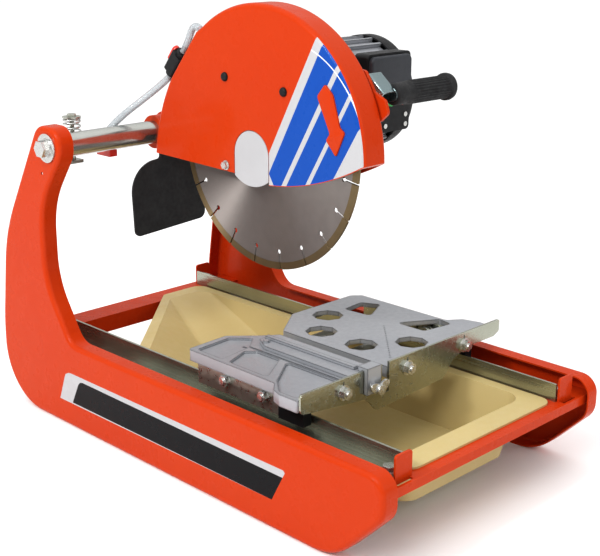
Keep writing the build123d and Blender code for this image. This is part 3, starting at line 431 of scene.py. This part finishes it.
# centres are (y, z) of an X axis; every length here is in metres
ARBOR = (-0.008, 0.377)
BLADE_CORE = 0.141  # the blade's segments lie beyond this distance from the arbor
GUARD_CENTRE = (-0.012, 0.377)
GUARD_FACE_LIMIT = -0.0479  # the guard's left face, with part of its rounded edge, lies left of this
PANEL_REAR = -0.0312  # just ahead of the arbor cover
PANEL_REACH = 0.1672
LOWER_EDGE_CENTRE = (-0.0039, 0.70479)
LOWER_EDGE_REACH = 0.3691
FINE_LINE_CENTRE = (-0.0588, 0.3859)
FINE_LINE_REACH = (0.1203, 0.1217)
FINE_LINE_LOW = 0.424
FRAME_FACE_LIMIT = 0.1957  # the side frames' outer faces lie beyond this


def guard_enamel():
    """Orange guard with a blue side panel crossed by silver lines; outlines are (y, z) in mm."""
    p = orange_enamel("guard_enamel")
    panel = p.both(
        p.below(p.axis(0), GUARD_FACE_LIMIT),
        p.below(p.axis(1), PANEL_REAR),
        p.below(p.radius(*GUARD_CENTRE), PANEL_REACH),
        p.below(p.radius(*LOWER_EDGE_CENTRE), LOWER_EDGE_REACH),
        p.right_of((-32.2, 376.6), (-93.4, 488.3)),
    )
    p.tint(panel, SILVER_BAND)
    first = [
        p.right_of((-37.1, 361.9), (-107.4, 489.4)),
        p.right_of((-38.5, 338), (-31.8, 349)),
        p.right_of((-137.7, 484.3), (-52.1, 339.1)),
    ]
    second = [p.right_of((-60.5, 340.4), (-143.7, 481.6)), p.right_of((-158.8, 458.3), (-91.7, 346.4))]
    third = [p.right_of((-99.7, 348.9), (-161.8, 453.2)), p.right_of((-174, 422.1), (-138.8, 365.2))]
    for sides in (first, second, third):
        p.tint(p.both(panel, *sides), BLUE_BAND)
    reach = p.radius(*FINE_LINE_CENTRE)
    inner, outer = FINE_LINE_REACH
    ring = p.both(panel, p.below(reach, outer), p.above(reach, inner), p.above(p.axis(2), FINE_LINE_LOW))
    p.tint(ring, FINE_LINE)
    return p


def frame_enamel():
    """Orange side frame with a silver and black band along the skid; outlines are (y, z) in mm."""
    p = orange_enamel("frame_enamel")
    outward = p.node("Math", operation="ABSOLUTE")
    p.link(p.axis(0), outward.inputs[0])
    skin = p.above(outward.outputs[0], FRAME_FACE_LIMIT)
    silver = p.inside([
        (216.5, 34), (204, 66), (201, 72), (194, 75.5), (189, 76.2),
        (-205, 77), (-208, 74), (-204, 68), (-187, 36),
    ])
    p.tint(p.both(skin, silver), SILVER_BAND)
    black = p.inside([(188, 36), (173, 65), (169, 69), (163, 70.3), (-204, 68), (-187, 36)])
    p.tint(p.both(skin, black), BLACK_BAND)
    return p


def tray_plastic():
    p = Paint(
        "tray_plastic", (0.55, 0.44, 0.21), 0.42,
        Specular_IOR_Level=0.3, Subsurface_Weight=0.06, Subsurface_Radius=(0.01, 0.006, 0.003),
    )
    p.tint(p.times(p.noise(9, 5), 0.4), (0.46, 0.36, 0.16))
    p.rough(p.noise(80, 3), 0.36, 0.52)
    return p.bump(p.noise(900, 3), 0.00006)


def zinc_plate(name="zinc_plate", color=(0.50, 0.51, 0.45), rough=(0.26, 0.42), along=(1, 1, 1)):
    p = Paint(name, color, 0.34, 0.9)
    p.tint(p.times(p.noise(14, 5), 0.5), tuple(c * 0.72 for c in color))
    # painted highlight: lighter plating along sharp edges, where the edges would glint
    p.tint(p.times(p.edges(0.0008), 0.5), (0.75, 0.76, 0.74))
    p.rough(p.noise(160, 5, along), *rough)
    return p.bump(p.noise(500, 3, along), 0.00004)


def cast_aluminium():
    p = Paint("cast_aluminium", (0.40, 0.41, 0.43), 0.40, 0.45)
    p.tint(p.times(p.noise(11, 5), 0.4), (0.32, 0.33, 0.36))
    # painted shade: near black along sharp edges and hole rims, where the edge faces would lie in shadow
    p.tint(p.times(p.edges(0.0026, 0.01, 0.10), 0.85), (0.09, 0.095, 0.10))
    p.rough(p.noise(150, 4), 0.30, 0.48)
    return p.bump(p.noise(520, 4), 0.00010)


def machined_steel():
    p = Paint("machined_steel", (0.42, 0.42, 0.42), 0.28, 1.0)
    p.rough(p.noise(260, 3, (6, 1, 1)), 0.20, 0.36)
    return p.bump(p.noise(700, 2, (8, 1, 1)), 0.00003)


def black_plastic(name="black_plastic", color=(0.012, 0.012, 0.013), rough=(0.34, 0.52)):
    p = Paint(name, color, 0.42, Specular_IOR_Level=0.25)
    # painted highlight: a lighter grey along sharp edges, where the edges would catch light
    p.tint(p.times(p.edges(0.0010), 0.35), (0.07, 0.07, 0.075))
    p.rough(p.noise(120, 3), *rough)
    return p.bump(p.noise(1400, 2), 0.00006)


def rubber(name="rubber", color=(0.018, 0.018, 0.019)):
    p = Paint(name, color, 0.62, Specular_IOR_Level=0.25)
    p.tint(p.times(p.noise(45, 4), 0.5), (0.035, 0.035, 0.036))
    p.rough(p.noise(200, 4), 0.52, 0.72)
    return p.bump(p.noise(1100, 3), 0.00010)


def blade_steel():
    p = Paint("blade_steel", (0.26, 0.235, 0.22), 0.50, 1.0, Anisotropic=0.95, Anisotropic_Rotation=0.25)
    p.tint(p.times(p.noise(30, 4), 0.15), (0.24, 0.22, 0.21))
    p.tint(p.above(p.radius(*ARBOR), BLADE_CORE), (0.20, 0.15, 0.085))
    p.rough(p.noise(90, 4), 0.48, 0.52)
    brushing = p.node("Tangent", direction_type="RADIAL", axis="X")
    p.link(brushing.outputs["Tangent"], p.bsdf.inputs["Tangent"])
    return p.bump(p.noise(1500, 2), 0.000008)


def silver_paint():
    p = Paint("silver_paint", SILVER_BAND, 0.34, 0.1, Specular_IOR_Level=0.3)
    p.tint(p.times(p.noise(20, 3), 0.3), tuple(c * 0.88 for c in SILVER_BAND))
    return p.rough(p.noise(120, 3), 0.28, 0.42)


def glossy_plastic(name, color):
    p = Paint(name, color, 0.30, Coat_Weight=0.25, Coat_Roughness=0.15)
    p.tint(p.times(p.noise(26, 3), 0.3), tuple(c * 0.82 for c in color))
    return p.rough(p.noise(140, 3), 0.24, 0.38)


def clear_vinyl():
    p = Paint("clear_vinyl", (0.62, 0.66, 0.68), 0.10, Transmission_Weight=0.55, IOR=1.35)
    p.tint(p.times(p.noise(30, 3), 0.4), (0.48, 0.52, 0.55))
    return p.rough(p.noise(90, 3), 0.06, 0.16)


ENAMEL = orange_enamel().mat
GUARD_ENAMEL = guard_enamel().mat
FRAME_ENAMEL = frame_enamel().mat
TRAY = tray_plastic().mat
ZINC = zinc_plate().mat
ZINC_BRIGHT = zinc_plate("zinc_bright", (0.62, 0.62, 0.60), (0.16, 0.32)).mat
RAIL = zinc_plate("rail_plate", (0.40, 0.41, 0.34), (0.18, 0.28), (1, 0.03, 1)).mat
GALVANISED = zinc_plate("galvanised", (0.50, 0.51, 0.48), (0.14, 0.26), (0.05, 1, 1)).mat
HANDLE_PLATE = zinc_plate("handle_plate", (0.22, 0.28, 0.29), (0.16, 0.26)).mat
ALUMINIUM = cast_aluminium().mat
MACHINED = machined_steel().mat
BLACK = black_plastic().mat
DARK_GREY = black_plastic("dark_grey_plastic", (0.045, 0.048, 0.055)).mat
RUBBER = rubber().mat
BLADE = blade_steel().mat
SILVER = silver_paint().mat
HOSE = clear_vinyl().mat
RED = glossy_plastic("red_plastic", (0.62, 0.03, 0.015)).mat
GREEN = glossy_plastic("green_plastic", (0.02, 0.28, 0.06)).mat

FINISH = {
    "orange_paint": ENAMEL, "tray_plastic": TRAY, "plated_steel": ZINC, "galvanised_tube": GALVANISED,
    "spring_steel": ZINC_BRIGHT, "machined_steel": MACHINED, "blade_steel": BLADE,
    "cast_aluminium": ALUMINIUM, "silver_paint": SILVER, "black_plastic": BLACK,
    "grey_plastic": DARK_GREY, "black_rubber": RUBBER, "clear_hose": HOSE,
    "hose_fitting_plastic": RED, "green_plastic": GREEN, "red_plastic": RED,
}
NODE_FINISH = {
    "guard_shell": GUARD_ENAMEL, "left_side_frame": FRAME_ENAMEL, "right_side_frame": FRAME_ENAMEL,
    "handle_bar": HANDLE_PLATE, "left_rail": RAIL, "right_rail": RAIL, "fence": RAIL,
    "frame_bolts": ZINC_BRIGHT, "pivot_bolts": ZINC_BRIGHT, "roller_bolts": ZINC_BRIGHT,
    "fence_bolts": ZINC_BRIGHT, "panel_screws": ZINC_BRIGHT, "wing_screw": ZINC_BRIGHT,
}
for subpart in frame["record"]["subparts"]:
    node = nodes[subpart["node"]]
    node.data.materials.clear()
    node.data.materials.append(NODE_FINISH.get(node.name, FINISH[subpart["material_slot"]]))

# ---------------------------------------------------------------- rounded edges on the carried-over parts
# pressed, cut and machined parts whose edges are sharp in the frame
CRISP = [
    "front_crossbar", "rear_crossbar", "left_rail", "right_rail", "frame_bolts", "pivot_bolts",
    "arbor_cover", "motor_end_shield", "switch_housing", "switch_cover", "handle_bracket", "handle_bar",
    "fan_cowl", "housing_cover", "table_plate", "near_plate", "carriage_sides", "table_crossmembers",
    "roller_bolts", "fence", "fence_bolts", "side_guide", "wing_screw", "tap_body", "tap_lever",
    "start_button", "stop_button", "panel_screws", "hose_fittings",
]
EDGE_ROUNDING = 0.0005
for name in CRISP:
    node = nodes[name]
    weld = node.modifiers.new("weld", "WELD")
    weld.merge_threshold = 1e-6
    bevel = node.modifiers.new("bevel", "BEVEL")
    bevel.width = EDGE_ROUNDING
    bevel.segments = 2
    bevel.limit_method = "ANGLE"
    bevel.angle_limit = math.radians(40)
    bevel.harden_normals = True


# ---------------------------------------------------------------- pieces
def to_mesh(work, name, angle):
    """The finished mesh, smooth but with edges sharper than this angle in degrees kept crisp."""
    bmesh.ops.recalc_face_normals(work, faces=work.faces)
    mesh = bpy.data.meshes.new(name)
    work.to_mesh(mesh)
    work.free()
    for face in mesh.polygons:
        face.use_smooth = True
    mesh.set_sharp_from_angle(angle=math.radians(angle))
    return mesh


def piece(name, mesh_data, material, body, slot):
    """A new object that rides on a CAD body."""
    made = bpy.data.objects.new(name, mesh_data)
    bpy.context.scene.collection.objects.link(made)
    made.data.materials.append(material)
    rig.ride(made, body)
    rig.slot(made, slot)
    return made


def turned_x(name, profile, y, z, sides, wobble):
    """A closed turning about an X axis at (y, z), from a profile of (x, radius), all in mm.

    wobble(x, angle) adds to the radius.
    """
    work = bmesh.new()
    rings = []
    for x, r in profile:
        ring = []
        for k in range(sides):
            turn = 2 * math.pi * k / sides
            reach = r + wobble(x, turn)
            place = (x, y + reach * math.cos(turn), z + reach * math.sin(turn))
            ring.append(work.verts.new([value / 1000 for value in place]))
        rings.append(ring)
    for near, far in zip(rings, rings[1:] + rings[:1]):
        for k in range(sides):
            work.faces.new((near[k], far[k], far[(k + 1) % sides], near[(k + 1) % sides]))
    return to_mesh(work, name, 35)


GRIP_RIBS = 26
GRIP_AXIS = (-165, 451)  # (y, z) in mm
RIB_HEIGHT = 0.55
RIBS_FROM, RIBS_TO = 38, 103


def grip_ribs(x, turn):
    """Lengthwise ribs on the hand part of the grip, fading out at the smooth neck and at the collar."""
    fade = min(1, max(0, (x - RIBS_FROM) / 4)) * min(1, max(0, (RIBS_TO - x) / 2))
    return fade * RIB_HEIGHT * (math.cos(GRIP_RIBS * turn) - 0.6)


# (x, radius) in mm: neck, hand part, collar, then back through the end to the bore
GRIP_NECK = [(13, 8.2), (13, 10.8), (13.6, 11.9), (15, 12.4), (24, 12.5), (31, 12.6), (35, 12.9), (38, 13.3)]
GRIP_HAND = [(x, 13.5) for x in (42, 50, 60, 70, 80, 90, 98, 101)]
GRIP_COLLAR = [
    (102.5, 13.7), (103.2, 14.6), (104, 15.5), (105.2, 16),
    (108.5, 16), (110.6, 15.5), (111.6, 14.2), (112, 12.6),
]
GRIP_END = [(112, 4), (111, 0.5), (106.5, 0.5), (106.4, 8.2)]
GRIP_PROFILE = GRIP_NECK + GRIP_HAND + GRIP_COLLAR + GRIP_END
grip_mesh = turned_x("hand_grip", GRIP_PROFILE, *GRIP_AXIS, GRIP_RIBS * 8, grip_ribs)
hand_grip = piece("hand_grip", grip_mesh, RUBBER, "head", "black_rubber")
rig.replaces(hand_grip, "handle_grip")


def slab_x(name, outline, x, thick, round_off):
    """A flat plate on a plane of constant X, its (y, z) outline in mm, rounded along its outer edge."""
    work = bmesh.new()
    ring = [work.verts.new((x / 1000, y / 1000, z / 1000)) for y, z in outline]
    face = work.faces.new(ring)
    raised = bmesh.ops.extrude_face_region(work, geom=[face])
    moved = [v for v in raised["geom"] if isinstance(v, bmesh.types.BMVert)]
    bmesh.ops.translate(work, verts=moved, vec=(thick / 1000, 0, 0))
    rim = [e for e in work.edges if all(v in moved for v in e.verts)]
    bmesh.ops.bevel(work, geom=rim, offset=round_off / 1000, segments=3, affect="EDGES", profile=0.5)
    return to_mesh(work, name, 50)


def rounded(corners, radius, steps=5):
    """The outline with each corner turned on a curve that starts this far from it."""
    result = []
    count = len(corners)
    for k in range(count):
        before, corner, after = (Vector(corners[(k + step) % count]) for step in (-1, 0, 1))
        start = corner + (before - corner).normalized() * min(radius, (before - corner).length * 0.45)
        end = corner + (after - corner).normalized() * min(radius, (after - corner).length * 0.45)
        for step in range(steps + 1):
            t = step / steps
            result.append(tuple(start * (1 - t) ** 2 + corner * 2 * t * (1 - t) + end * t * t))
    return result


# the blade's direction of turning, in raised relief on the guard; (y, z) in mm
ARROW = [
    (-110.6, 450.2), (-130.8, 410.2), (-124.7, 402.7), (-140.2, 385.7),
    (-153.4, 414.1), (-145.9, 418.7), (-135.0, 453.7), (-122.8, 464.6),
]
GUARD_FACE = -50
ARROW_RELIEF = -2.2
arrow_mesh = slab_x(
    "turning_arrow", rounded(ARROW, radius=3), x=GUARD_FACE, thick=ARROW_RELIEF, round_off=1.0
)
piece("turning_arrow", arrow_mesh, ENAMEL, "head", "orange_paint")

SPRING = {"x": -135, "y": 246, "foot": 360.3, "top": 394, "reach": 10.5, "wire": 1.3, "turns": 6}


def coil(name, x, y, foot, top, reach, wire, turns):
    """An upright compression spring with a closed turn at each end, in mm."""
    per_turn, around = 32, 10
    upward = Vector((0, 0, 1))
    closed = 2.08 * wire
    pitch = (top - foot - 2 * wire - 2 * closed) / (turns - 2)
    work = bmesh.new()
    rings = []
    for k in range(turns * per_turn + 1):
        turned = k / per_turn
        rise = closed * min(turned, 1) + pitch * min(max(turned - 1, 0), turns - 2)
        rise += closed * max(turned - turns + 1, 0)
        angle = 2 * math.pi * turned
        out = Vector((math.cos(angle), math.sin(angle), 0))
        centre = Vector((x, y, foot + wire + rise)) + out * reach
        ring = []
        for step in range(around):
            turn = 2 * math.pi * step / around
            offset = (out * math.cos(turn) + upward * math.sin(turn)) * wire
            ring.append(work.verts.new((centre + offset) / 1000))
        rings.append(ring)
    for near, far in zip(rings, rings[1:]):
        for step in range(around):
            work.faces.new((near[step], far[step], far[(step + 1) % around], near[(step + 1) % around]))
    work.faces.new(rings[0])
    work.faces.new(reversed(rings[-1]))
    return to_mesh(work, name, 60)


coil_spring = piece("coil_spring", coil("coil_spring", **SPRING), ZINC_BRIGHT, "frame", "spring_steel")
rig.replaces(coil_spring, "return_spring")
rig.squash(coil_spring, "head_pivot", axis=(0, 0, 1), anchor=(-0.135, 0.246, 0.394), keep=0.42)

for line in (supply_line, feed_line):
    line.data.materials.append(HOSE)

# ---------------------------------------------------------------- floor, sky and soft boxes
FLOOR_SIZE = 240
bpy.ops.mesh.primitive_plane_add(size=FLOOR_SIZE, location=(0, 0, 0))
floor = bpy.context.object
floor.name = "floor"
floor_paint = Paint("floor_white", (0.96, 0.96, 0.96), 0.7)
floor_paint.rough(floor_paint.noise(3, 2), 0.65, 0.8)
floor.data.materials.append(floor_paint.mat)
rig.stage(floor)

# a white sky, brighter overhead than at the horizon
world = bpy.data.worlds.new("studio")
bpy.context.scene.world = world
world.use_nodes = True
sky = world.node_tree
heading = sky.nodes.new("ShaderNodeTexCoord")
parts = sky.nodes.new("ShaderNodeSeparateXYZ")
spread = sky.nodes.new("ShaderNodeMapRange")
sky.links.new(heading.outputs["Generated"], parts.inputs[0])
sky.links.new(parts.outputs[2], spread.inputs["Value"])
for socket, value in (("From Min", 0.0), ("From Max", 0.9), ("To Min", 0.42), ("To Max", 1.6)):
    spread.inputs[socket].default_value = value
sky.links.new(spread.outputs["Result"], sky.nodes["Background"].inputs["Strength"])
sky.nodes["Background"].inputs["Color"].default_value = (1, 1, 1, 1)
bpy.context.scene.view_settings.view_transform = "Standard"
bpy.context.scene.view_settings.look = "Medium High Contrast"
bpy.context.scene.view_settings.exposure = -0.42


def soft_box(name, place, aim, size, power):
    """A rectangular area light turned towards a point."""
    light = bpy.data.lights.new(name, "AREA")
    light.shape = "RECTANGLE"
    light.size, light.size_y = size
    light.energy = power
    made = bpy.data.objects.new(name, light)
    made.location = place
    made.rotation_euler = (Vector(aim) - Vector(place)).to_track_quat("-Z", "Y").to_euler()
    bpy.context.scene.collection.objects.link(made)


soft_box("key", (-1.8, -0.7, 2.2), (0, 0, 0.2), (1.3, 1.3), 24)
soft_box("side", (-2.05, 0.15, 1.75), (0, 0, 0.35), (0.35, 0.35), 28)
soft_box("fill", (0.8, -2.2, 1.2), (0, 0, 0.2), (1.6, 1.2), 8)

for path, value in (("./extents.json", {"cad": [list(v) for v in cad_box], "visual": [list(v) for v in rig.bounds()]}),):
    with open(path, "w") as out:
        json.dump(value, out)
